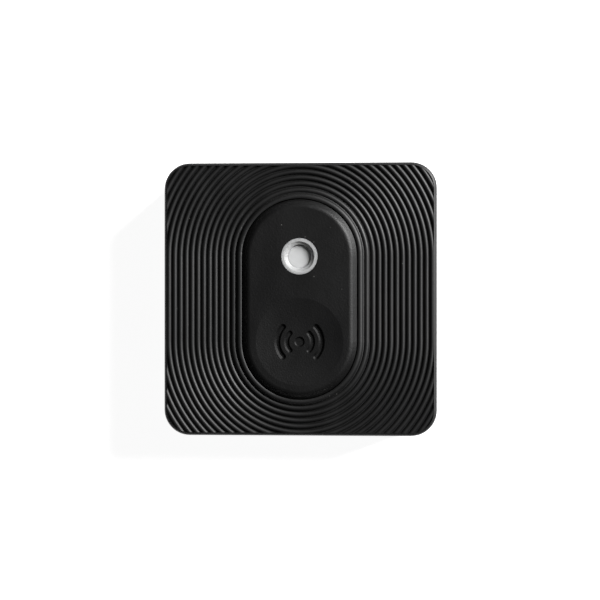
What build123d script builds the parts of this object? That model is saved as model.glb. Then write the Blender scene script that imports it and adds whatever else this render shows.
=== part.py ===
from build123d import *
import os

# Square stick-on Bluetooth tag, in millimetres. +Z points out of the front face, +Y to the indicator end.
# The origin is the centre of the square on the underside of the adhesive pad.

# ---- driving dimensions ----
body_width = 36.0           # outside of the square housing
body_radius = 3.4           # plan radius of its corners
edge_round = 0.55           # rounding along its front and back edges
wall = 1.3                  # side wall of the top cover

arc_offset = 5.6            # from the middle to each arc centre of the stadium shapes
pad_plateau = 6.45          # half width of the press pad's flat top
pad_radius = 7.5            # half width of the press pad's skirt
opening_radius = 7.64       # half width of the cover's opening, which is the first groove
rib_depth = 0.34            # from crest to valley
rim_width = 0.4             # plain rim between the ends of the ribs and the outside
rim_rise = 0.03             # the rim stands this much over the crests
flare_pitch = 0.81          # pitch of the ribs that sweep up to the pad
rib_pitch = 0.775           # pitch of all the other ribs
flare_ribs = 3
rib_count = 17
valley_width = 0.09
flare_rise = 0.74           # how far the ribbed surface rises towards the pad
flare_ease = 0.25           # share of the rib depth lost at the opening

ring_radius = 2.38          # outside of the indicator ring
ring_rim_radius = 1.95      # inside edge of the ring's flat rim
ring_hole_radius = 1.56
dimple_radius = 5.75
dimple_depth = 0.32
mark_radius = 2.9           # middle of the outer arcs of the debossed mark
mark_stroke = 0.3           # at the bottom of the strokes
mark_depth = 0.2
mark_draft = 42             # slope of the strokes' sides, in degrees
pad_skin = 1.2              # thickness of the press pad's top
flange_radius = 8.4         # flange that keeps the pad in the cover

cell_radius = 10.0          # CR2032 coin cell
cell_height = 3.2
screw_offset = 13.7         # case screws stand at plus and minus this in X and Y
boss_radius = 1.9
slip = 0.02                 # gap left between parts that touch

# ---- heights, from the wall side to the front ----
back_z = 0.8                # adhesive pad's thickness
floor_z = back_z + 1.6
split_z = 3.9               # joint between back cover and top cover
cell_z = floor_z + 0.3
cell_top_z = cell_z + cell_height
board_z = cell_top_z + 0.5
board_top_z = board_z + 0.8
plate_z = 9.4               # underside of the ribbed plate
crest_z = 10.6              # top of the ribs
pad_top_z = 11.6
clear_z = pad_top_z + 1.0   # above everything, for cutting
pad_under_z = pad_top_z - pad_skin
flange_z = 8.6
flange_top_z = flange_z + 0.35
plunger_top_z = 8.85        # top of the switch's plunger, under the pad's nub

flare_end = opening_radius + flare_ribs * flare_pitch
cavity_width = body_width - 2 * wall
cavity_radius = body_radius - wall
upright = (Align.CENTER, Align.CENTER, Align.MIN)
os.makedirs("parts", exist_ok=True)


def stadium_solid(north_face, south_face):
    """Sweep a half profile round the stadium: turned at both arc centres, straight in between."""
    with BuildPart() as swept:
        revolve(north_face, axis=Axis((0, arc_offset, 0), (0, 0, 1)), revolution_arc=180)
        revolve(south_face, axis=Axis((0, -arc_offset, 0), (0, 0, -1)), revolution_arc=180)
        side = extrude(north_face, amount=2 * arc_offset, dir=(0, -1, 0))
        mirror(side, about=Plane.YZ)
    return swept.part


def flare_reach(radius):
    """0 outside the flare, rising to 1 at the edge of the opening."""
    return max(0.0, (flare_end - radius) / (flare_end - opening_radius))


def crest_height(radius):
    """Height of the rib crests: flat outside, swept up to the pad inside the flare."""
    return crest_z + flare_rise * flare_reach(radius) ** 2


def valley_height(radius):
    """Height of the grooves, which grow shallower towards the pad."""
    return crest_height(radius) - rib_depth * (1 - flare_ease * flare_reach(radius))


def rib_face(plane):
    """Half profile of the space over the ribs: x is the distance from the stadium's middle line."""
    with BuildSketch(plane) as face:
        with BuildLine():
            start = opening_radius
            height = valley_height(start)
            Polyline((start, height), (0, height), (0, clear_z))
            for rib in range(rib_count):
                pitch = flare_pitch if rib < flare_ribs else rib_pitch
                end = start + pitch - valley_width
                end_height = valley_height(end)
                middle = (start + end) / 2
                ThreePointArc((start, height), (middle, crest_height(middle)), (end, end_height))
                next_height = valley_height(end + valley_width)
                Line((end, end_height), (end + valley_width, next_height))
                start = end + valley_width
                height = next_height
            Polyline((start, height), (start, clear_z), (0, clear_z))
        make_face()
    return face.sketch


def pad_face(plane):
    """Half profile of the press pad: flat top, rounded shoulder, sloped flank, skirt and flange."""
    flank_start = (7.0, pad_top_z - 0.19)
    flank_foot = (pad_radius, pad_top_z - 0.58)
    with BuildSketch(plane) as face:
        with BuildLine():
            Line((0, pad_top_z), (pad_plateau, pad_top_z))
            TangentArc((pad_plateau, pad_top_z), flank_start, tangent=(1, 0))
            Polyline(flank_start, flank_foot, (pad_radius, flange_top_z))
            Polyline((pad_radius, flange_top_z), (flange_radius, flange_top_z), (flange_radius, flange_z))
            Polyline((flange_radius, flange_z), (0, flange_z), (0, pad_top_z))
        make_face()
    return face.sketch


north_plane = Plane.XZ.offset(-arc_offset)
south_plane = Plane.XZ.offset(arc_offset)

# ---- top_cover: ribbed front plate and side walls, moulded in one piece ----
sound_slot_z = 8.1
joint_chamfer = 0.12
gasket_height = 0.55
gasket_width = 0.45
pilot_radius = 0.8          # hole that a screw cuts its thread in
web = 0.8
web_reach = 3.2
rim_inside = body_width - 2 * rim_width
swept_space = stadium_solid(rib_face(north_plane), rib_face(south_plane))
with BuildPart() as space_over_ribs:
    add(swept_space)
    with BuildSketch(Plane.XY.offset(plate_z)):
        RectangleRounded(rim_inside, rim_inside, body_radius - rim_width)
    extrude(amount=clear_z - plate_z, mode=Mode.INTERSECT)
with BuildPart() as top_cover:
    with BuildSketch(Plane.XY.offset(split_z)):
        RectangleRounded(body_width, body_width, body_radius)
    extrude(amount=crest_z + rim_rise - split_z)
    fillet(top_cover.faces().sort_by(Axis.Z)[-1].edges(), edge_round)
    chamfer(top_cover.faces().sort_by(Axis.Z)[0].edges(), joint_chamfer)
    with BuildSketch(Plane.XY.offset(plate_z)):
        SlotCenterToCenter(2 * arc_offset, 2 * flare_end, rotation=90)
    extrude(amount=pad_top_z - plate_z)
    add(space_over_ribs.part, mode=Mode.SUBTRACT)
    with BuildSketch(Plane.XY.offset(split_z)):
        RectangleRounded(cavity_width, cavity_width, cavity_radius)
    extrude(amount=plate_z - split_z, mode=Mode.SUBTRACT)
    # seat of the cover gasket, round the foot of the wall
    with BuildSketch(Plane.XY.offset(split_z)):
        seat_width = cavity_width + 2 * gasket_width
        RectangleRounded(seat_width, seat_width, cavity_radius + gasket_width)
    extrude(amount=gasket_height, mode=Mode.SUBTRACT)
    # screw bosses, tied to the walls by webs
    with BuildSketch(Plane.XY.offset(split_z)):
        with GridLocations(2 * screw_offset, 2 * screw_offset, 2, 2):
            Circle(boss_radius)
    extrude(amount=plate_z - split_z)
    with BuildSketch(Plane.XY.offset(split_z + 1.0)):
        with GridLocations(2 * screw_offset + web_reach, 2 * screw_offset, 2, 2):
            Rectangle(web_reach, web)
        with GridLocations(2 * screw_offset, 2 * screw_offset + web_reach, 2, 2):
            Rectangle(web, web_reach)
    extrude(amount=plate_z - split_z - 1.0)
    with BuildSketch(Plane.XY.offset(split_z)):
        with GridLocations(2 * screw_offset, 2 * screw_offset, 2, 2):
            Circle(pilot_radius)
    extrude(amount=4.5, mode=Mode.SUBTRACT)
    # posts that hold the circuit board down
    with BuildSketch(Plane.XY.offset(board_top_z)):
        with GridLocations(30.4, 19.0, 2, 2):
            Circle(0.7)
    extrude(amount=plate_z - board_top_z)
    # opening for the press pad
    with BuildSketch(Plane.XY.offset(plate_z - 0.5)):
        SlotCenterToCenter(2 * arc_offset, 2 * opening_radius, rotation=90)
    extrude(amount=4, mode=Mode.SUBTRACT)
    # sound slots through the +X wall
    with BuildSketch(Plane.YZ.offset(cavity_width / 2 - 0.2)):
        with Locations((-1.6, sound_slot_z), (0, sound_slot_z), (1.6, sound_slot_z)):
            SlotOverall(1.6, 0.7, rotation=90)
    extrude(amount=wall + 0.5, mode=Mode.SUBTRACT)
top_cover.part.label = "top_cover"
export_step(top_cover.part, "parts/top_cover.step")

# ---- press_pad: the raised stadium button, a shell with a flange that keeps it in the cover ----
shell_width = 12.2          # hollow under the pad's top
dimple_sphere = (dimple_radius ** 2 + dimple_depth ** 2) / (2 * dimple_depth)
wave_arcs = [CenterArc((0, 0), radius, -42, 84) for radius in (0.58 * mark_radius, mark_radius)]
pad_solid = stadium_solid(pad_face(north_plane), pad_face(south_plane))
with BuildPart() as press_pad:
    add(pad_solid)
    with BuildSketch(Plane.XY.offset(flange_z)):
        SlotCenterToCenter(2 * arc_offset, shell_width, rotation=90)
    extrude(amount=pad_under_z - flange_z, mode=Mode.SUBTRACT)
    # nub that pushes the switch, with two stiffening ribs across the shell
    with BuildSketch(Plane.XY.offset(plunger_top_z + slip)):
        with Locations((0, -arc_offset)):
            Circle(1.3)
    extrude(amount=pad_under_z - plunger_top_z)
    with BuildSketch(Plane.XY.offset(pad_under_z - 0.6)):
        with Locations((0, -arc_offset), (0, 0)):
            Rectangle(shell_width + 0.4, 0.7)
    extrude(amount=0.8)
    # bore for the indicator ring
    with BuildSketch(Plane.XY.offset(flange_z)):
        with Locations((0, arc_offset)):
            Circle(ring_radius + slip)
    extrude(amount=clear_z - flange_z, mode=Mode.SUBTRACT)
    # finger dimple and the debossed beacon mark in it
    with Locations((0, -arc_offset, pad_top_z - dimple_depth + dimple_sphere)):
        Sphere(dimple_sphere, mode=Mode.SUBTRACT)
    with BuildSketch(Plane.XY.offset(pad_top_z - dimple_depth - mark_depth)):
        with Locations((0, -arc_offset)):
            Circle(0.5)
            for arc in wave_arcs:
                SlotArc(arc, mark_stroke)
                SlotArc(arc, mark_stroke, rotation=180)
    extrude(amount=2 * mark_depth, taper=-mark_draft, mode=Mode.SUBTRACT)
press_pad.part.label = "press_pad"
export_step(press_pad.part, "parts/press_pad.step")

# ---- indicator_ring: pale funnel round the light, with a flange under the pad's top ----
ring_plane = Plane.XZ.offset(-arc_offset)
ring_axis = Axis((0, arc_offset, 0), (0, 0, 1))
ring_flange_radius = 2.9
ring_bottom_z = 9.9
disc_radius = 1.9           # wide foot of the light pipe, held under a step in the ring
disc_step_z = 10.25
disc_top_z = pad_top_z - 0.75
with BuildPart() as indicator_ring:
    with BuildSketch(ring_plane):
        with BuildLine():
            Polyline(
                (ring_hole_radius, disc_step_z),
                (ring_hole_radius, pad_top_z - 0.38),
                (ring_rim_radius, pad_top_z - 0.1),
                (ring_rim_radius, pad_top_z),
                (ring_radius, pad_top_z),
                (ring_radius, pad_under_z - slip),
                (ring_flange_radius, pad_under_z - slip),
                (ring_flange_radius, ring_bottom_z),
                (disc_radius, ring_bottom_z),
                (disc_radius, disc_step_z),
                close=True,
            )
        make_face()
    revolve(axis=ring_axis)
indicator_ring.part.label = "indicator_ring"
export_step(indicator_ring.part, "parts/indicator_ring.step")

# ---- light_pipe: pale disc at the foot of the funnel, with a stem down to the indicator light ----
with BuildPart() as light_pipe:
    with BuildSketch(ring_plane):
        with BuildLine():
            Polyline(
                (0, disc_top_z),
                (ring_hole_radius - slip, disc_top_z),
                (ring_hole_radius - slip, disc_step_z - slip),
                (disc_radius - slip, disc_step_z - slip),
                (disc_radius - slip, ring_bottom_z),
                (1.0, ring_bottom_z),
                (0.85, 8.35),
                (0, 8.35),
                close=True,
            )
        make_face()
    revolve(axis=ring_axis)
light_pipe.part.label = "light_pipe"
export_step(light_pipe.part, "parts/light_pipe.step")

# ---- pad_seal: soft stadium ring that the pad's flange rests against ----
with BuildPart() as pad_seal:
    with BuildSketch(Plane.XY.offset(flange_top_z + slip)):
        SlotCenterToCenter(2 * arc_offset, 2 * flange_radius, rotation=90)
        SlotCenterToCenter(2 * arc_offset, 2 * pad_radius + 0.6, rotation=90, mode=Mode.SUBTRACT)
    extrude(amount=plate_z - flange_top_z - slip)
pad_seal.part.label = "pad_seal"
export_step(pad_seal.part, "parts/pad_seal.step")

# ---- back_cover: floor, low wall with an inner lip, screw bosses and the battery door's seat ----
lip_outer = cavity_width - 0.2
lip_inner = lip_outer - 1.6
door_radius = 12.4
seat_radius = door_radius + 0.1
ledge_z = back_z + 0.9
throat_radius = 11.0
lug_radius = 11.9
turn_to_open = 30
lug_angles = (90, 210, 330)
lug_span = 16               # degrees round the door
notch_span = 22
mark_pit = 0.2              # depth of the small alignment dots
with BuildPart() as back_cover:
    with BuildSketch(Plane.XY.offset(back_z)):
        RectangleRounded(body_width, body_width, body_radius)
    extrude(amount=split_z - back_z)
    fillet(back_cover.faces().sort_by(Axis.Z)[0].edges(), edge_round)
    chamfer(back_cover.faces().sort_by(Axis.Z)[-1].edges(), joint_chamfer)
    with BuildSketch(Plane.XY.offset(split_z)):
        RectangleRounded(lip_outer, lip_outer, cavity_radius)
    extrude(amount=0.8)
    with BuildSketch(Plane.XY.offset(floor_z)):
        RectangleRounded(lip_inner, lip_inner, cavity_radius - 0.8)
    extrude(amount=5, mode=Mode.SUBTRACT)
    # screw bosses, filled out to the corners
    with BuildSketch(Plane.XY.offset(floor_z)):
        with GridLocations(2 * screw_offset, 2 * screw_offset, 2, 2):
            Circle(2.2)
        with GridLocations(2 * screw_offset + 2.2, 2 * screw_offset + 2.2, 2, 2):
            Rectangle(2.2, 2.2)
    extrude(amount=split_z - floor_z)
    with Locations(Plane.XY.offset(back_z).rotated((180, 0, 0))):
        with GridLocations(2 * screw_offset, 2 * screw_offset, 2, 2):
            CounterBoreHole(radius=0.9, counter_bore_radius=1.6, counter_bore_depth=1.1, depth=4)
    # seat, throat and lug notches of the battery door
    with BuildSketch(Plane.XY.offset(back_z)):
        Circle(seat_radius)
    extrude(amount=ledge_z - back_z, mode=Mode.SUBTRACT)
    with BuildSketch(Plane.XY.offset(back_z)):
        Circle(throat_radius)
        for angle in lug_angles:
            with Locations(Location((0, 0), angle - turn_to_open)):
                notch = CenterArc((0, 0), throat_radius, -notch_span / 2, notch_span, mode=Mode.PRIVATE)
                SlotArc(notch, 2 * (lug_radius - throat_radius) + 0.2)
    extrude(amount=floor_z - back_z, mode=Mode.SUBTRACT)
    # closed and open marks on the rim of the seat
    with BuildSketch(Plane.XY.offset(back_z)):
        with PolarLocations(seat_radius + 0.35, 2, 90 - turn_to_open, turn_to_open, endpoint=True):
            Circle(0.18)
    extrude(amount=mark_pit, mode=Mode.SUBTRACT)
back_cover.part.label = "back_cover"
export_step(back_cover.part, "parts/back_cover.step")

# ---- cover_gasket: soft seal in the joint between the two covers ----
with BuildPart() as cover_gasket:
    with BuildSketch(Plane.XY.offset(split_z)):
        gasket_outer = seat_width - 2 * slip
        gasket_inner = lip_outer + 3 * slip
        RectangleRounded(gasket_outer, gasket_outer, cavity_radius + gasket_width - slip)
        RectangleRounded(gasket_inner, gasket_inner, cavity_radius, mode=Mode.SUBTRACT)
    extrude(amount=gasket_height - slip)
cover_gasket.part.label = "cover_gasket"
export_step(cover_gasket.part, "parts/cover_gasket.step")

# ---- case_screws: four M1.6 plastic screws with a cross recess, driven from the back ----
head_z = back_z + 0.1
head_top_z = back_z + 1.1
head_radius = 1.5
shank_radius = 0.6
thread_radius = pilot_radius - 0.01
thread_z = head_top_z + 2.0
thread_pitch = 0.6
thread_turns = 6
thread_end = thread_z + thread_turns * thread_pitch
recess_width = 1.7
recess_slot = 0.4
with BuildPart() as case_screw:
    with BuildSketch(Plane.XZ):
        with BuildLine():
            Polyline((0, thread_end + 0.4), (0, head_z), (head_radius - 0.2, head_z))
            Line((head_radius - 0.2, head_z), (head_radius, head_z + 0.2))
            Polyline((head_radius, head_z + 0.2), (head_radius, head_top_z), (shank_radius, head_top_z))
            Line((shank_radius, head_top_z), (shank_radius, thread_z))
            for turn in range(thread_turns):
                root_z = thread_z + turn * thread_pitch
                crest = (thread_radius, root_z + 0.5 * thread_pitch)
                Polyline((shank_radius, root_z), crest, (shank_radius, root_z + thread_pitch))
            Line((shank_radius, thread_end), (0, thread_end + 0.4))
        make_face()
    revolve(axis=Axis.Z)
    with BuildSketch(Plane.XY.offset(head_z)):
        Rectangle(recess_width, recess_slot)
        Rectangle(recess_slot, recess_width)
    extrude(amount=0.5, mode=Mode.SUBTRACT)
with BuildPart() as case_screws:
    with GridLocations(2 * screw_offset, 2 * screw_offset, 2, 2):
        add(case_screw.part)
case_screws.part.label = "case_screws"
export_step(case_screws.part, "parts/case_screws.step")

# ---- adhesive_pad: foam tape with a hole for the battery door and reliefs for the screws ----
pad_width = 33.0
door_hole_radius = 13.2
corner_notch = 8.0          # square cut out of the foam and the board at each screw
with BuildPart() as adhesive_pad:
    with BuildSketch():
        RectangleRounded(pad_width, pad_width, 2.0)
        Circle(door_hole_radius, mode=Mode.SUBTRACT)
        with GridLocations(2 * screw_offset + 3.6, 2 * screw_offset + 3.6, 2, 2):
            RectangleRounded(corner_notch, corner_notch, 2.2, mode=Mode.SUBTRACT)
    extrude(amount=back_z)
adhesive_pad.part.label = "adhesive_pad"
export_step(adhesive_pad.part, "parts/adhesive_pad.step")

# ---- battery_door: twist-lock cup with a coin slot, three lugs and a groove for its O-ring ----
lug_z = floor_z + 0.05
door_rim_z = floor_z + 0.6
hub_radius = throat_radius - 0.1
cup_radius = cell_radius + 0.15
groove_radius = door_radius - 0.45
with BuildPart() as battery_door:
    with BuildSketch(Plane.XZ):
        with BuildLine():
            Polyline(
                (0, back_z),
                (door_radius - 0.1, back_z),
                (door_radius, back_z + 0.1),
                (door_radius, back_z + 0.2),
                (groove_radius, back_z + 0.2),
                (groove_radius, back_z + 0.7),
                (door_radius, back_z + 0.7),
                (door_radius, ledge_z - 0.05),
                (hub_radius, ledge_z - 0.05),
                (hub_radius, door_rim_z),
                (cup_radius, door_rim_z),
                (cup_radius, floor_z),
                (0, floor_z),
                close=True,
            )
        make_face()
    revolve(axis=Axis.Z)
    with BuildSketch(Plane.XY.offset(lug_z)):
        for angle in lug_angles:
            with Locations(Location((0, 0), angle)):
                middle = (hub_radius + lug_radius) / 2
                lug = CenterArc((0, 0), middle, -lug_span / 2, lug_span, mode=Mode.PRIVATE)
                SlotArc(lug, lug_radius - hub_radius + 0.2)
    extrude(amount=door_rim_z - lug_z)
    with BuildSketch(Plane.XY.offset(back_z)):
        SlotOverall(14.0, 1.8)
    extrude(amount=0.6, mode=Mode.SUBTRACT)
    with BuildSketch(Plane.XY.offset(back_z)):
        with Locations((0, door_radius - 1.2)):
            Circle(0.35)
    extrude(amount=mark_pit, mode=Mode.SUBTRACT)
battery_door.part.label = "battery_door"
export_step(battery_door.part, "parts/battery_door.step")

# ---- door_o_ring: seals the door's edge against the wall of its seat ----
with BuildPart() as door_o_ring:
    with BuildSketch(Plane.XZ):
        with Locations((door_radius - 0.2, back_z + 0.45)):
            Circle(0.24)
    revolve(axis=Axis.Z)
door_o_ring.part.label = "door_o_ring"
export_step(door_o_ring.part, "parts/door_o_ring.step")

# ---- door_pad: foam disc that presses the cell up onto its contact ----
with BuildPart() as door_pad:
    with BuildSketch(Plane.XY.offset(floor_z)):
        Circle(7.0)
    extrude(amount=cell_z - floor_z - slip)
door_pad.part.label = "door_pad"
export_step(door_pad.part, "parts/door_pad.step")

# ---- battery_carrier: ring round the cell, with arms to the walls and pegs into the board ----
carrier_radius = 13.0
carrier_bore = cell_radius + 0.25
carrier_step = throat_radius + 1.2
peg_y = 11.7
peg_radius = 0.5
with BuildPart() as battery_carrier:
    with BuildSketch(Plane.XZ):
        with BuildLine():
            Polyline(
                (carrier_bore, door_rim_z + 0.1),
                (carrier_step, door_rim_z + 0.1),
                (carrier_step, floor_z),
                (carrier_radius, floor_z),
                (carrier_radius, board_z),
                (carrier_bore, board_z),
                close=True,
            )
        make_face()
    revolve(axis=Axis.Z)
    with BuildSketch(Plane.XY.offset(floor_z)):
        with Locations((-(carrier_radius + 1.2), 0), (carrier_radius + 1.2, 0)):
            Rectangle(2.9, 5.0)
    extrude(amount=1.6)
    with BuildSketch(Plane.XY.offset(board_z)):
        with Locations((0, peg_y), (0, -peg_y)):
            Circle(peg_radius)
    extrude(amount=board_top_z - board_z)
    # pocket for the positive contact
    with BuildSketch(Plane.XY.offset(door_rim_z)):
        with Locations((cell_radius + 1.0, 0)):
            Rectangle(2.2, 4.4)
    extrude(amount=board_z - door_rim_z, mode=Mode.SUBTRACT)
battery_carrier.part.label = "battery_carrier"
export_step(battery_carrier.part, "parts/battery_carrier.step")

# ---- positive_contact: bowed strip that bears on the side of the cell's can ----
contact_z = board_z - 0.1
with BuildPart() as positive_contact:
    with BuildSketch(Plane.XZ.offset(-1.9)):
        with BuildLine():
            Polyline(
                (cell_radius + 1.9, contact_z),
                (cell_radius + 0.9, contact_z),
                (cell_radius + 0.5, board_z - 0.6),
                (cell_radius + 0.14, cell_z + 1.9),
                (cell_radius + 0.6, cell_z + 0.8),
            )
        trace(line_width=0.2)
    extrude(amount=3.8)
positive_contact.part.label = "positive_contact"
export_step(positive_contact.part, "parts/positive_contact.step")

# ---- negative_contact: leaf spring under the board that bears on the cell's cap ----
with BuildPart() as negative_contact:
    with BuildSketch(Plane.XZ.offset(-2.0)):
        with BuildLine():
            Polyline(
                (-7.5, contact_z),
                (-3.5, contact_z),
                (1.5, cell_top_z + 0.1),
                (3.0, cell_top_z + 0.3),
            )
        trace(line_width=0.16)
    extrude(amount=4.0)
negative_contact.part.label = "negative_contact"
export_step(negative_contact.part, "parts/negative_contact.step")

# ---- the coin cell: can, sealing gasket, cap, and the two discs inside ----
metal = 0.25
cap_radius = 8.9
can_corner = 0.35           # radius of the can's bends
can_top_z = cell_top_z - 0.15
cap_foot_z = cell_z + 0.5
pellet_radius = cap_radius - 0.6
cathode_height = 1.75
with BuildPart() as cell_can:
    with BuildSketch(Plane.XZ):
        with BuildLine():
            rim = cell_radius - can_corner
            Polyline((0, cell_z + metal), (0, cell_z), (rim, cell_z))
            RadiusArc((rim, cell_z), (cell_radius, cell_z + can_corner), -can_corner)
            Line((cell_radius, cell_z + can_corner), (cell_radius, can_top_z - can_corner))
            RadiusArc((cell_radius, can_top_z - can_corner), (rim, can_top_z), -can_corner)
            Polyline(
                (rim, can_top_z),
                (cap_radius + 0.45, can_top_z),
                (cap_radius + 0.45, cell_top_z - 0.4),
                (cell_radius - metal, cell_top_z - 0.6),
                (cell_radius - metal, cell_z + metal),
                (0, cell_z + metal),
            )
        make_face()
    revolve(axis=Axis.Z)
cell_can.part.label = "cell_can"
export_step(cell_can.part, "parts/cell_can.step")

with BuildPart() as cell_gasket:
    with BuildSketch(Plane.XZ):
        with BuildLine():
            Polyline(
                (cap_radius - 0.4, cell_z + metal),
                (cell_radius - metal - 0.01, cell_z + metal),
                (cell_radius - metal - 0.01, cell_top_z - 0.65),
                (cap_radius + 0.4, cell_top_z - 0.44),
                (cap_radius + 0.4, cell_top_z - 0.2),
                (cap_radius + slip, cell_top_z - 0.2),
                (cap_radius + slip, cap_foot_z),
                (cap_radius - 0.4, cap_foot_z),
                close=True,
            )
        make_face()
    revolve(axis=Axis.Z)
cell_gasket.part.label = "cell_gasket"
export_step(cell_gasket.part, "parts/cell_gasket.step")

with BuildPart() as cell_cap:
    with BuildSketch(Plane.XZ):
        with BuildLine():
            Polyline((0, cell_top_z - metal), (0, cell_top_z), (cap_radius - 0.3, cell_top_z))
            RadiusArc((cap_radius - 0.3, cell_top_z), (cap_radius, cell_top_z - 0.3), 0.3)
            Polyline(
                (cap_radius, cell_top_z - 0.3),
                (cap_radius, cap_foot_z + slip),
                (cap_radius - metal, cap_foot_z + slip),
                (cap_radius - metal, cell_top_z - metal),
                (0, cell_top_z - metal),
            )
        make_face()
    revolve(axis=Axis.Z)
cell_cap.part.label = "cell_cap"
export_step(cell_cap.part, "parts/cell_cap.step")

with BuildPart() as cathode_pellet:
    with BuildSketch(Plane.XY.offset(cell_z + metal)):
        Circle(pellet_radius)
    extrude(amount=cathode_height)
cathode_pellet.part.label = "cathode_pellet"
export_step(cathode_pellet.part, "parts/cathode_pellet.step")

lithium_z = cell_z + metal + cathode_height + slip
with BuildPart() as lithium_disc:
    with BuildSketch(Plane.XY.offset(lithium_z)):
        Circle(pellet_radius)
    extrude(amount=cell_top_z - metal - lithium_z)
lithium_disc.part.label = "lithium_disc"
export_step(lithium_disc.part, "parts/lithium_disc.step")

# ---- circuit_board: notched round the screw bosses, holed for the carrier's pegs ----
board_width = cavity_width - 1.0
with BuildPart() as circuit_board:
    with BuildSketch(Plane.XY.offset(board_z)):
        RectangleRounded(board_width, board_width, 1.6)
        with GridLocations(2 * screw_offset + 3.4, 2 * screw_offset + 3.4, 2, 2):
            RectangleRounded(corner_notch, corner_notch, 2.3, mode=Mode.SUBTRACT)
        with Locations((0, peg_y), (0, -peg_y)):
            Circle(peg_radius + 0.05, mode=Mode.SUBTRACT)
    extrude(amount=board_top_z - board_z)
circuit_board.part.label = "circuit_board"
export_step(circuit_board.part, "parts/circuit_board.step")

# ---- parts soldered on the board: radio, crystal, antenna, light and small passives ----
radio_x = -12.3             # column of the radio and its passives, clear of the press pad
radio_y = 4.5
radio_width = 5.0
radio_height = 0.85
pin_dot = 0.36 * radio_width
with BuildPart() as radio_chip:
    with Locations((radio_x, radio_y, board_top_z)):
        Box(radio_width, radio_width, radio_height, align=upright)
    chamfer(radio_chip.faces().sort_by(Axis.Z)[-1].edges(), 0.1)
    with Locations((radio_x - pin_dot, radio_y + pin_dot, board_top_z + radio_height)):
        Cylinder(0.25, 0.3, mode=Mode.SUBTRACT)
radio_chip.part.label = "radio_chip"
export_step(radio_chip.part, "parts/radio_chip.step")

crystal_y = -0.6
crystal_base = 0.35
with BuildPart() as crystal:
    with Locations((radio_x, crystal_y, board_top_z)):
        Box(3.2, 2.5, crystal_base, align=upright)
    with Locations((radio_x, crystal_y, board_top_z + crystal_base)):
        Box(2.8, 2.1, 0.35, align=upright)
crystal.part.label = "crystal"
export_step(crystal.part, "parts/crystal.step")

with BuildPart() as chip_antenna:
    with Locations((0, 15.1, board_top_z)):
        Box(7.0, 1.6, 0.8, align=upright)
    chamfer(chip_antenna.faces().sort_by(Axis.Z)[-1].edges(), 0.1)
chip_antenna.part.label = "chip_antenna"
export_step(chip_antenna.part, "parts/chip_antenna.step")

led_base = 0.3
with BuildPart() as indicator_led:
    with Locations((0, arc_offset, board_top_z)):
        Box(1.6, 0.8, led_base, align=upright)
    with Locations((0, arc_offset, board_top_z + led_base)):
        Box(1.1, 0.8, 0.4, align=upright)
indicator_led.part.label = "indicator_led"
export_step(indicator_led.part, "parts/indicator_led.step")

passive_length = 1.0
passive_width = 0.5
resistor_height = 0.35
radio_columns = (radio_x - 1.6, radio_x, radio_x + 1.6)
sounder_columns = (10.4, 11.8, 13.2)
with BuildPart() as capacitors:
    for x in radio_columns:
        with Locations((x, 8.2, board_top_z), (x, -3.4, board_top_z)):
            Box(passive_width, passive_length, passive_width, align=upright)
    with Locations((10.4, 5.2, board_top_z), (12.4, 5.2, board_top_z)):
        Box(passive_length, passive_width, passive_width, align=upright)
capacitors.part.label = "capacitors"
export_step(capacitors.part, "parts/capacitors.step")

with BuildPart() as resistors:
    for x in (*radio_columns, *sounder_columns):
        with Locations((x, -5.2, board_top_z)):
            Box(passive_width, passive_length, resistor_height, align=upright)
resistors.part.label = "resistors"
export_step(resistors.part, "parts/resistors.step")

# ---- sounder: cased buzzer facing the sound slots, and the mesh behind them ----
sounder_x = 12.3
sounder_width = 6.5
sounder_floor_z = board_top_z + 0.3
chamber_radius = 2.9
disc_height = 0.25
with BuildPart() as sounder_case:
    with Locations((sounder_x, 0, board_top_z)):
        Box(sounder_width, sounder_width, 1.8, align=upright)
    with Locations((sounder_x, 0, sounder_floor_z)):
        Cylinder(chamber_radius, 1.2, align=upright, mode=Mode.SUBTRACT)
    # sound port in the side that faces the slots
    with Locations((sounder_x + chamber_radius, 0, sounder_floor_z + 0.6)):
        Box(2.0, 2.0, 0.8, mode=Mode.SUBTRACT)
sounder_case.part.label = "sounder_case"
export_step(sounder_case.part, "parts/sounder_case.step")

with BuildPart() as sounder_disc:
    with Locations((sounder_x, 0, sounder_floor_z)):
        Cylinder(chamber_radius - 0.05, disc_height, align=upright)
    with Locations((sounder_x, 0, sounder_floor_z + disc_height)):
        Cylinder(1.9, 0.15, align=upright)
sounder_disc.part.label = "sounder_disc"
export_step(sounder_disc.part, "parts/sounder_disc.step")

mesh_thickness = 0.16
with BuildPart() as sound_mesh:
    with BuildSketch(Plane.YZ.offset(cavity_width / 2 - mesh_thickness - 0.01)):
        with Locations((0, sound_slot_z)):
            RectangleRounded(5.4, 2.2, 0.5)
    extrude(amount=mesh_thickness)
sound_mesh.part.label = "sound_mesh"
export_step(sound_mesh.part, "parts/sound_mesh.step")

# ---- the switch under the press pad: base, snap dome, plunger, cover frame and terminals ----
switch_centre = (0, -arc_offset)
switch_width = 4.5
switch_height = 1.1
switch_floor_z = board_top_z + 0.3
dome_z = switch_floor_z + 0.05
with BuildPart() as switch_body:
    with Locations((*switch_centre, board_top_z)):
        Box(switch_width, switch_width, switch_height, align=upright)
    with Locations((*switch_centre, switch_floor_z)):
        Cylinder(1.85, 1.0, align=upright, mode=Mode.SUBTRACT)
switch_body.part.label = "switch_body"
export_step(switch_body.part, "parts/switch_body.step")

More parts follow.
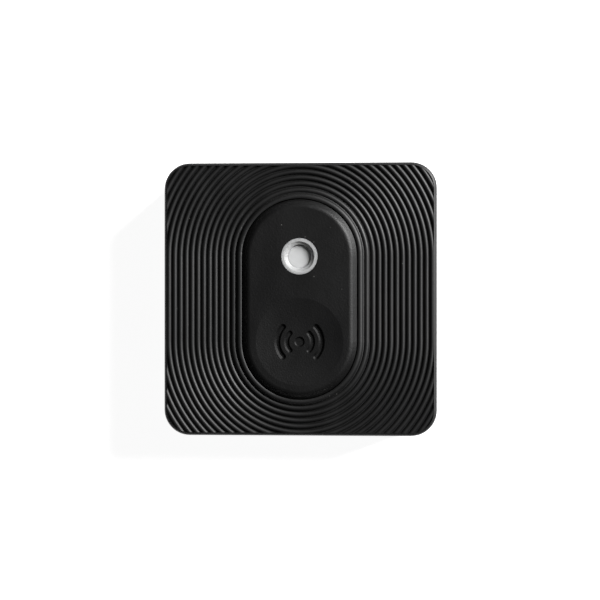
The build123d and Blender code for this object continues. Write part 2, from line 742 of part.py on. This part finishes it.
switch_axis = Axis((0, -arc_offset, 0), (0, 0, 1))
with BuildPart() as switch_dome:
    with BuildSketch(south_plane):
        with BuildLine():
            dome_top_z = dome_z + 0.38
            outer = ThreePointArc((0, dome_top_z), (0.92, dome_top_z - 0.09), (1.78, dome_z + slip))
            inner = ThreePointArc((0, dome_top_z - 0.08), (0.9, dome_top_z - 0.17), (1.72, dome_z - 0.05))
            Line(outer @ 0, inner @ 0)
            Line(outer @ 1, inner @ 1)
        make_face()
    revolve(axis=switch_axis)
switch_dome.part.label = "switch_dome"
export_step(switch_dome.part, "parts/switch_dome.step")

plunger_z = dome_top_z + slip
plunger_foot = 0.3
stem_radius = 0.95
with BuildPart() as switch_plunger:
    with BuildSketch(Plane.XY.offset(plunger_z)):
        with Locations(switch_centre):
            Circle(1.5)
    extrude(amount=plunger_foot)
    with BuildSketch(Plane.XY.offset(plunger_z + plunger_foot)):
        with Locations(switch_centre):
            Circle(stem_radius)
    extrude(amount=plunger_top_z - plunger_z - plunger_foot)
switch_plunger.part.label = "switch_plunger"
export_step(switch_plunger.part, "parts/switch_plunger.step")

tab = 0.18                  # sheet thickness of the frame's side tabs
with BuildPart() as switch_frame:
    with BuildSketch(Plane.XY.offset(board_top_z + switch_height)):
        with Locations(switch_centre):
            Rectangle(switch_width + 2 * (tab + slip), switch_width)
            Circle(stem_radius + 0.1, mode=Mode.SUBTRACT)
    extrude(amount=0.15)
    with BuildSketch(Plane.XY.offset(board_top_z + 0.2)):
        with Locations(switch_centre):
            with GridLocations(switch_width + tab + 2 * slip, 1, 2, 1):
                Rectangle(tab, 2.0)
    extrude(amount=1.0)
switch_frame.part.label = "switch_frame"
export_step(switch_frame.part, "parts/switch_frame.step")

with BuildPart() as switch_terminals:
    with Locations((*switch_centre, board_top_z)):
        with GridLocations(5.4, 3.2, 2, 2):
            Box(0.9, 0.7, 0.15, align=upright)
switch_terminals.part.label = "switch_terminals"
export_step(switch_terminals.part, "parts/switch_terminals.step")
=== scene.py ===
import math

import bmesh
import bpy
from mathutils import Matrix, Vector


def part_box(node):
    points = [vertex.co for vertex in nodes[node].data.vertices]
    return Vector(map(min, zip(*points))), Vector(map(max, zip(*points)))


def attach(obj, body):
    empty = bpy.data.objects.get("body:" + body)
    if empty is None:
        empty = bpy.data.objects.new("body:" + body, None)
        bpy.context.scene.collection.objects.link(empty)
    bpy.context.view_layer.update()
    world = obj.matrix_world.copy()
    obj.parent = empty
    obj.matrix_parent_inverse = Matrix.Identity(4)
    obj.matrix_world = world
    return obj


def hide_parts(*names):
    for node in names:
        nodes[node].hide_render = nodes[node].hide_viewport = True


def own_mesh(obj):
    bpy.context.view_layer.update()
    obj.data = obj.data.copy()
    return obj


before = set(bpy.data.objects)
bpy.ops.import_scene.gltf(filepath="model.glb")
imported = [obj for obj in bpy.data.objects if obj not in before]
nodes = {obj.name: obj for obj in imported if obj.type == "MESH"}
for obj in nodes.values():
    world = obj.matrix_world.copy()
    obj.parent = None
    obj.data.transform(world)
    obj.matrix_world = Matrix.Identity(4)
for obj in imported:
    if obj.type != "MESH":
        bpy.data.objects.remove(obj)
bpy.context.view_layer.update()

mm = 0.001
micron = 0.001 * mm

# sockets of a colour Mix node, whose names repeat for each data type
MIX_FIRST = 6
MIX_SECOND = 7
MIX_RESULT = 2


# ---------------------------------------------------------------- camera, floor and light

def look_at(obj, target):
    """Turn a camera or light so that its -Z points at target."""
    obj.rotation_mode = "QUATERNION"
    obj.rotation_quaternion = (Vector(target) - obj.location).to_track_quat("-Z", "Y")


def add_camera():
    """A lens almost straight above the front face, leaning a little to its right."""
    pad_rise = 1.0 * mm
    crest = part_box("press_pad")[1].z - pad_rise
    distance = 0.2
    lean = math.radians(3.5)
    frame_width = 78.95 * mm
    data = bpy.data.cameras.new("camera")
    data.sensor_width = 36.0
    data.lens = data.sensor_width * distance / frame_width
    data.clip_start = 0.01
    data.clip_end = 20.0
    camera = bpy.data.objects.new("camera", data)
    bpy.context.scene.collection.objects.link(camera)
    aim = Vector((0.02 * mm, -0.12 * mm, crest))
    camera.location = aim + distance * Vector((math.sin(lean), 0, math.cos(lean)))
    camera.rotation_euler = (0, lean, 0)
    bpy.context.scene.camera = camera


def add_softbox(name, azimuth, elevation, distance, size, watts, tint=(1.0, 1.0, 1.0)):
    """An area light aimed at the object; azimuth is counted from +X towards +Y."""
    data = bpy.data.lights.new(name, "AREA")
    data.shape = "RECTANGLE"
    data.size = size[0]
    data.size_y = size[1]
    data.energy = watts
    data.color = tint
    light = bpy.data.objects.new(name, data)
    bpy.context.scene.collection.objects.link(light)
    a = math.radians(azimuth)
    e = math.radians(elevation)
    direction = Vector((math.cos(a) * math.cos(e), math.sin(a) * math.cos(e), math.sin(e)))
    light.location = direction * distance
    look_at(light, (0, 0, 8 * mm))


def studio_world(seen, lit):
    """A white backdrop: seen is its strength to the camera, lit its strength as a light."""
    world = bpy.data.worlds.new("studio")
    world.use_nodes = True
    tree = world.node_tree
    room = tree.nodes["Background"]
    room.inputs["Color"].default_value = (1.0, 1.0, 1.0, 1.0)
    path = tree.nodes.new("ShaderNodeLightPath")
    strength = tree.nodes.new("ShaderNodeMapRange")
    tree.links.new(path.outputs["Is Camera Ray"], strength.inputs["Value"])
    strength.inputs["To Min"].default_value = lit
    strength.inputs["To Max"].default_value = seen
    tree.links.new(strength.outputs["Result"], room.inputs["Strength"])
    return world


def add_studio():
    """Plain white floor, white backdrop, one key softbox and a very weak one above."""
    scene = bpy.context.scene
    scene.view_settings.view_transform = "Standard"
    scene.world = studio_world(seen=1.0, lit=0.02)
    add_softbox("key", azimuth=30, elevation=34, distance=0.5, size=(0.2, 0.2), watts=6)
    add_softbox(
        "top", azimuth=215, elevation=68, distance=0.5, size=(0.4, 0.4), watts=0.05, tint=(0.95, 0.98, 1.0)
    )

    half_floor = 0.3
    mesh = bpy.data.meshes.new("floor")
    maker = bmesh.new()
    bmesh.ops.create_grid(maker, x_segments=8, y_segments=8, size=half_floor)
    maker.to_mesh(mesh)
    maker.free()
    floor = bpy.data.objects.new("floor", mesh)
    floor.location.z = -0.01 * mm
    scene.collection.objects.link(floor)
    floor.data.materials.append(floor_material())


# ---------------------------------------------------------------- material building blocks

class Shader:
    """A new Principled material with short calls to add and join nodes."""

    def __init__(self, name):
        self.material = bpy.data.materials.new(name)
        self.material.use_nodes = True
        self.tree = self.material.node_tree
        self.surface = self.tree.nodes["Principled BSDF"]
        self.place = self.add("ShaderNodeTexCoord").outputs["Object"]

    def add(self, kind, **settings):
        node = self.tree.nodes.new(kind)
        for key, value in settings.items():
            setattr(node, key, value)
        return node

    def join(self, output, socket):
        self.tree.links.new(output, socket)

    def fixed(self, **values):
        """Constant values, set on the shader's own sockets."""
        for key, value in values.items():
            self.surface.inputs[key.replace("_", " ")].default_value = value

    def noise(self, size, detail=2.0, roughness=0.5, stretch=(1, 1, 1)):
        """Noise with features of about this size in metres."""
        node = self.add("ShaderNodeTexNoise")
        node.inputs["Scale"].default_value = 1.0 / size
        node.inputs["Detail"].default_value = detail
        node.inputs["Roughness"].default_value = roughness
        if stretch == (1, 1, 1):
            self.join(self.place, node.inputs["Vector"])
        else:
            mapping = self.add("ShaderNodeMapping")
            mapping.inputs["Scale"].default_value = stretch
            self.join(self.place, mapping.inputs["Vector"])
            self.join(mapping.outputs["Vector"], node.inputs["Vector"])
        return node.outputs["Fac"]

    def cells(self, size, feature="F1"):
        """Distances in a Voronoi pattern with cells of about this size in metres."""
        node = self.add("ShaderNodeTexVoronoi", feature=feature)
        node.inputs["Scale"].default_value = 1.0 / size
        self.join(self.place, node.inputs["Vector"])
        return node.outputs["Distance"]

    def ramp(self, value, low, high, start=0.0, end=1.0):
        """Map value from [start, end] to [low, high], clamped."""
        node = self.add("ShaderNodeMapRange")
        self.join(value, node.inputs["Value"])
        node.inputs["From Min"].default_value = start
        node.inputs["From Max"].default_value = end
        node.inputs["To Min"].default_value = low
        node.inputs["To Max"].default_value = high
        return node.outputs["Result"]

    def math(self, operation, first, second):
        """A Math node; each input is a number or another node's output."""
        node = self.add("ShaderNodeMath", operation=operation)
        for socket, value in zip(node.inputs, (first, second)):
            if isinstance(value, (int, float)):
                socket.default_value = value
            else:
                self.join(value, socket)
        return node.outputs["Value"]

    def mix(self, factor, first, second):
        """Mix two colours by a factor output."""
        node = self.add("ShaderNodeMix", data_type="RGBA")
        self.join(factor, node.inputs["Factor"])
        for index, value in ((MIX_FIRST, first), (MIX_SECOND, second)):
            if isinstance(value, tuple):
                node.inputs[index].default_value = (*value, 1.0)
            else:
                self.join(value, node.inputs[index])
        return node.outputs[MIX_RESULT]

    def colour(self, output):
        self.join(output, self.surface.inputs["Base Color"])

    def rough(self, output):
        self.join(output, self.surface.inputs["Roughness"])

    def bump(self, height, depth, before=None):
        """Bump whose full height is depth metres."""
        node = self.add("ShaderNodeBump")
        node.inputs["Strength"].default_value = 1.0
        node.inputs["Distance"].default_value = depth
        self.join(height, node.inputs["Height"])
        if before is not None:
            self.join(before, node.inputs["Normal"])
        self.join(node.outputs["Normal"], self.surface.inputs["Normal"])
        return node.outputs["Normal"]


def floor_material():
    """Clean white paper, lifted so that it stays white beside the shadow."""
    s = Shader("floor_white")
    s.colour(s.mix(s.noise(20 * mm), (0.93, 0.93, 0.93), (0.96, 0.96, 0.96)))
    s.fixed(Roughness=0.9, Emission_Color=(1.0, 1.0, 1.0, 1.0), Emission_Strength=0.92)
    return s.material


def moulded_black(name, tone, grain, depth, roughness, index=1.48):
    """Matte black moulded plastic: spark-eroded grain, soft rub marks and a few specks of dust."""
    shade = (tone, tone, 1.02 * tone)
    dark = tuple(0.8 * c for c in shade)
    light = tuple(1.35 * c for c in shade)
    dust_grey = (0.16, 0.16, 0.15)
    worn_by = 0.035
    grain_by = 0.03
    s = Shader(name)
    cloudy = s.noise(4 * mm, detail=3.0)
    fine = s.noise(grain, detail=2.0, roughness=0.6)
    base = s.mix(s.ramp(cloudy, 0.0, 1.0, 0.3, 0.7), dark, light)
    speck = s.ramp(s.cells(1.1 * mm), 1.0, 0.0, 0.03, 0.06)
    sparse = s.ramp(s.noise(1.7 * mm, detail=0.0), 0.0, 1.0, 0.62, 0.66)
    dust = s.math("MULTIPLY", speck, sparse)
    s.colour(s.mix(dust, base, dust_grey))
    rub = s.noise(2.2 * mm, detail=4.0, stretch=(1, 0.35, 1))
    worn = s.ramp(rub, roughness - worn_by, roughness + worn_by, 0.3, 0.7)
    s.rough(s.math("ADD", worn, s.ramp(fine, -grain_by, grain_by, 0.3, 0.7)))
    coarse = s.bump(s.noise(1.7 * grain, detail=1.0), 0.8 * depth)
    s.bump(fine, depth, coarse)
    s.fixed(IOR=index)
    return s.material


def pale_plastic(name, shade, roughness, scatter):
    """Smooth pale moulding with faint flow marks; scatter is the share of light that goes inside."""
    s = Shader(name)
    flow = s.noise(0.9 * mm, detail=2.0)
    s.colour(s.mix(flow, tuple(0.94 * c for c in shade), shade))
    s.rough(s.ramp(s.noise(0.25 * mm, detail=3.0), roughness - 0.05, roughness + 0.08, 0.3, 0.7))
    s.bump(s.noise(0.12 * mm, detail=2.0), 0.8 * micron)
    s.fixed(IOR=1.5, Subsurface_Weight=scatter, Subsurface_Radius=(1.0, 1.0, 0.95),
            Subsurface_Scale=1.0 * mm)
    return s.material


def foam_material(name, shade, pore):
    """Closed-cell foam: small pores, with painted shade darkening the pits."""
    s = Shader(name)
    pores_and_pit_shade = s.cells(pore, feature="SMOOTH_F1")
    # painted shade: the colour darkens towards the bottom of each pit, where the bump sinks the pores
    tone = s.ramp(pores_and_pit_shade, 0.0, 1.0, 0.2, 0.8)
    s.colour(s.mix(tone, tuple(0.55 * c for c in shade), shade))
    s.rough(s.ramp(s.noise(pore), 0.8, 0.95))
    s.bump(pores_and_pit_shade, 0.12 * pore)
    return s.material


def rubber_material(name, shade):
    """Soft silicone with a faint bloom."""
    s = Shader(name)
    s.colour(s.mix(s.noise(1.5 * mm, detail=3.0), shade, tuple(1.8 * c for c in shade)))
    s.rough(s.ramp(s.noise(0.3 * mm, detail=2.0), 0.45, 0.65, 0.3, 0.7))
    s.bump(s.noise(0.08 * mm), 2 * micron)
    s.fixed(IOR=1.42)
    return s.material


def metal_material(name, shade, roughness, stretch):
    """Plated or stamped metal with fine drawn lines and slight tarnish."""
    s = Shader(name)
    lines = s.noise(0.35 * mm, detail=4.0, roughness=0.7, stretch=stretch)
    stain = s.ramp(s.noise(3.0 * mm, detail=3.0), 0.0, 1.0, 0.35, 0.7)
    s.colour(s.mix(stain, shade, tuple(0.78 * c for c in shade)))
    s.rough(s.ramp(lines, roughness - 0.08, roughness + 0.1, 0.3, 0.7))
    s.bump(lines, 1.5 * micron)
    s.fixed(Metallic=1.0)
    return s.material


def ceramic_material(name, shade):
    """Fired ceramic or pressed powder with a sandy surface."""
    s = Shader(name)
    sand = s.noise(0.07 * mm, detail=3.0)
    s.colour(s.mix(sand, tuple(0.8 * c for c in shade), shade))
    s.rough(s.ramp(sand, 0.5, 0.75, 0.3, 0.7))
    s.bump(sand, 3 * micron)
    return s.material


def board_material():
    """Green solder mask over glass laminate: faint weave and copper showing as lighter tracks."""
    s = Shader("board_laminate")
    weave = s.add("ShaderNodeTexChecker")
    weave.inputs["Scale"].default_value = 1.0 / (0.45 * mm)
    s.join(s.place, weave.inputs["Vector"])
    tracks = s.ramp(s.cells(2.4 * mm, feature="DISTANCE_TO_EDGE"), 1.0, 0.0, 0.03, 0.06)
    dark_green = (0.010, 0.075, 0.038)
    green = (0.014, 0.095, 0.050)
    over_copper = (0.03, 0.19, 0.09)
    mask = s.mix(s.ramp(weave.outputs["Fac"], 0.0, 0.35), dark_green, green)
    s.colour(s.mix(tracks, mask, over_copper))
    s.rough(s.ramp(s.noise(0.5 * mm), 0.22, 0.34, 0.3, 0.7))
    s.bump(tracks, 25 * micron)
    return s.material


def mesh_cloth_material():
    """Woven acoustic mesh."""
    s = Shader("mesh_cloth")
    thread_grey = (0.05, 0.05, 0.055)
    gap_black = (0.012, 0.012, 0.012)
    threads = s.cells(0.12 * mm)
    s.colour(s.mix(s.ramp(threads, 0.0, 1.0, 0.2, 0.7), thread_grey, gap_black))
    s.rough(s.ramp(threads, 0.7, 0.9))
    s.bump(threads, 20 * micron)
    return s.material


# ---------------------------------------------------------------- pieces that replace CAD solids

def copy_of(node, name):
    """A new object with a copy of a CAD node's mesh."""
    mesh = nodes[node].data.copy()
    mesh.name = name
    mesh.materials.clear()
    piece = bpy.data.objects.new(name, mesh)
    bpy.context.scene.collection.objects.link(piece)
    return piece


def apply_modifiers(piece):
    """Replace the piece's mesh by its evaluated mesh."""
    bpy.context.view_layer.update()
    evaluated = piece.evaluated_get(bpy.context.evaluated_depsgraph_get())
    mesh = bpy.data.meshes.new_from_object(evaluated)
    mesh.name = piece.name
    piece.modifiers.clear()
    piece.data = mesh


def uneven(point):
    """A smooth wave between -1 and 1 with crests a few millimetres apart."""
    along = math.sin(2100 * point.x + 900 * point.y)
    across = math.sin(1900 * point.y - 700 * point.x + 2500 * point.z)
    return along * across


def foam_piece(node, name, body, material, voxel, rough):
    """Die-cut foam: the CAD outline with soft edges and a slightly uneven cell surface."""
    piece = copy_of(node, name)
    remesh = piece.modifiers.new("cells", "REMESH")
    remesh.mode = "VOXEL"
    remesh.voxel_size = voxel
    soften = piece.modifiers.new("soften", "SMOOTH")
    soften.factor = 0.5
    soften.iterations = 3
    apply_modifiers(piece)
    low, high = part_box(node)
    middle = (low + high) / 2
    for vertex in piece.data.vertices:
        outward = Vector((vertex.co.x - middle.x, vertex.co.y - middle.y, 0)).normalized()
        vertex.co -= outward * rough * (1.0 + uneven(vertex.co))
    piece.data.shade_smooth()
    piece.data.materials.append(material)
    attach(piece, body)
    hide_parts(node)


def band(name, outline, section):
    """A closed band: each section point (out, up) is swept round the outline's (x, y, nx, ny) stations."""
    verts = []
    for x, y, nx, ny in outline:
        for out, up in section:
            verts.append((x + nx * out, y + ny * out, up))
    count = len(outline)
    width = len(section)
    faces = []
    for i in range(count):
        j = (i + 1) % count
        for a in range(width):
            b = (a + 1) % width
            faces.append((i * width + a, j * width + a, j * width + b, i * width + b))
    mesh = bpy.data.meshes.new(name)
    mesh.from_pydata(verts, [], faces)
    mesh.validate()
    maker = bmesh.new()
    maker.from_mesh(mesh)
    bmesh.ops.recalc_face_normals(maker, faces=maker.faces)
    maker.to_mesh(mesh)
    maker.free()
    mesh.shade_smooth()
    piece = bpy.data.objects.new(name, mesh)
    bpy.context.scene.collection.objects.link(piece)
    return piece


def arc_stations(centre, radius, start, end, steps):
    """Stations along an arc, with outward normals; angles in degrees."""
    stations = []
    for step in range(steps + 1):
        angle = math.radians(start + (end - start) * step / steps)
        nx = math.cos(angle)
        ny = math.sin(angle)
        stations.append((centre[0] + radius * nx, centre[1] + radius * ny, nx, ny))
    return stations


def rounded_square(half, radius, steps=12):
    """Stations round a square with round corners."""
    inner = half - radius
    stations = []
    for quarter, (sx, sy) in enumerate(((1, 1), (-1, 1), (-1, -1), (1, -1))):
        start = 90 * quarter
        stations += arc_stations((sx * inner, sy * inner), radius, start, start + 90, steps)
    return stations


def stadium(half_length, radius, steps=48):
    """Stations round a stadium, whose arc centres are half_length from the middle along Y."""
    north = arc_stations((0, half_length), radius, 0, 180, steps)
    south = arc_stations((0, -half_length), radius, 180, 360, steps)
    return north + south


def rounded_section(half_width, low, high, corner, steps=4):
    """Cross-section of a moulded seal: a rectangle with round corners."""
    points = []
    upper = high - corner
    lower = low + corner
    for side, up, start in ((1, upper, 0), (-1, upper, 90), (-1, lower, 180), (1, lower, 270)):
        for step in range(steps + 1):
            angle = math.radians(start + 90 * step / steps)
            out = side * (half_width - corner) + corner * math.cos(angle)
            points.append((out, up + corner * math.sin(angle)))
    return points


def soft_seal(name, node, outline, section, material):
    """A rubber band that stands for a CAD seal."""
    piece = band(name, outline, section)
    piece.data.materials.append(material)
    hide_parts(node)
    return piece


def add_soft_pieces(foam, door_foam, rubber):
    """Foam pads and rubber seals, each in the space of its CAD solid."""
    rough = 0.02 * mm
    foam_piece("adhesive_pad", "adhesive_foam_pad", "root", foam, 0.16 * mm, rough)
    foam_piece("door_pad", "door_foam_pad", "door", door_foam, 0.08 * mm, rough)

    seal_corner = 0.12 * mm
    plan_radius = 2.3 * mm
    low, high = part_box("cover_gasket")
    half_width = 0.2 * mm
    outline = rounded_square(high.x - half_width, plan_radius)
    section = rounded_section(half_width, low.z, high.z, seal_corner)
    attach(soft_seal("cover_gasket_ring", "cover_gasket", outline, section, rubber), "root")

    low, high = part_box("pad_seal")
    half_width = 0.28 * mm
    outline = stadium(high.y - high.x, high.x - half_width)
    section = rounded_section(half_width, low.z, high.z, seal_corner)
    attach(soft_seal("pad_seal_ring", "pad_seal", outline, section, rubber), "root")

    low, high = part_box("door_o_ring")
    cord = (high.z - low.z) / 2
    stations = 144
    nearly_round = 0.999 * cord
    outline = arc_stations((0, 0), high.x - cord, 0, 360 - 360 / stations, stations - 1)
    section = rounded_section(cord, low.z, high.z, nearly_round)
    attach(soft_seal("door_o_ring_cord", "door_o_ring", outline, section, rubber), "door")


def add_snap_dome(material):
    """The switch's steel dome: a smooth-shaded copy of the CAD dome with its own mesh, in its place."""
    dome = copy_of("switch_dome", "snap_dome")
    dome.data.materials.append(material)
    dome.data.shade_smooth()
    low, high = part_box("switch_dome")
    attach(dome, "root")
    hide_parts("switch_dome")
    foot = (low + high) / 2
    foot.z = low.z
    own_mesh(dome)


# ---------------------------------------------------------------- materials for the CAD nodes

def finish_nodes():
    """Give every CAD node that stays its material, and return the two materials that new pieces share."""
    black = moulded_black("cover_plastic", 0.003, 0.16 * mm, 5 * micron, 0.515)
    pad = moulded_black("pad_plastic", 0.0025, 0.13 * mm, 20 * micron, 0.47, 1.38)
    rubber = rubber_material("seal_rubber", (0.012, 0.012, 0.013))
    zinc = metal_material("screw_steel", (0.42, 0.42, 0.44), 0.32, (1, 1, 6))
    spring = metal_material("contact_steel", (0.66, 0.62, 0.52), 0.28, (6, 1, 1))
    steel = metal_material("cell_steel", (0.62, 0.63, 0.64), 0.24, (1, 5, 1))
    tin = metal_material("switch_steel", (0.6, 0.6, 0.6), 0.3, (5, 1, 1))
    brass = metal_material("sounder_brass", (0.62, 0.44, 0.16), 0.3, (1, 4, 1))
    white = pale_plastic("carrier_plastic", (0.72, 0.72, 0.68), 0.45, 0.1)
    seal = pale_plastic("cell_seal", (0.5, 0.5, 0.48), 0.4, 0.1)
    ceramic = ceramic_material("component_ceramic", (0.55, 0.45, 0.3))
    epoxy = moulded_black("chip_epoxy", 0.012, 0.06 * mm, 2.5 * micron, 0.45)
    nylon = moulded_black("switch_plastic", 0.018, 0.08 * mm, 2 * micron, 0.4)
    finishes = {
        "top_cover": black,
        "back_cover": black,
        "battery_door": black,
        "press_pad": pad,
        "indicator_ring": pale_plastic("ring_plastic", (0.38, 0.383, 0.383), 0.5, 0.85),
        "light_pipe": pale_plastic("light_plastic", (0.5, 0.503, 0.503), 0.5, 0.85),
        "case_screws": zinc,
        "battery_carrier": white,
        "positive_contact": spring,
        "negative_contact": spring,
        "cell_can": steel,
        "cell_cap": steel,
        "cell_gasket": seal,
        "cathode_pellet": ceramic_material("cathode", (0.05, 0.05, 0.052)),
        "lithium_disc": metal_material("lithium", (0.6, 0.6, 0.63), 0.5, (1, 1, 1)),
        "circuit_board": board_material(),
        "radio_chip": epoxy,
        "resistors": epoxy,
        "crystal": tin,
        "chip_antenna": ceramic,
        "capacitors": ceramic,
        "indicator_led": pale_plastic("led_resin", (0.78, 0.78, 0.7), 0.2, 0.3),
        "sounder_case": nylon,
        "sounder_disc": brass,
        "sound_mesh": mesh_cloth_material(),
        "switch_body": nylon,
        "switch_plunger": nylon,
        "switch_frame": tin,
        "switch_terminals": tin,
    }
    for name, material in finishes.items():
        mesh = nodes[name].data
        mesh.materials.clear()
        mesh.materials.append(material)
    return rubber, tin


add_camera()
add_studio()
seal_rubber, switch_steel = finish_nodes()
add_snap_dome(switch_steel)
add_soft_pieces(
    foam_material("adhesive_foam", (0.16, 0.16, 0.165), 0.22 * mm),
    foam_material("door_foam", (0.06, 0.06, 0.065), 0.15 * mm),
    seal_rubber,
)
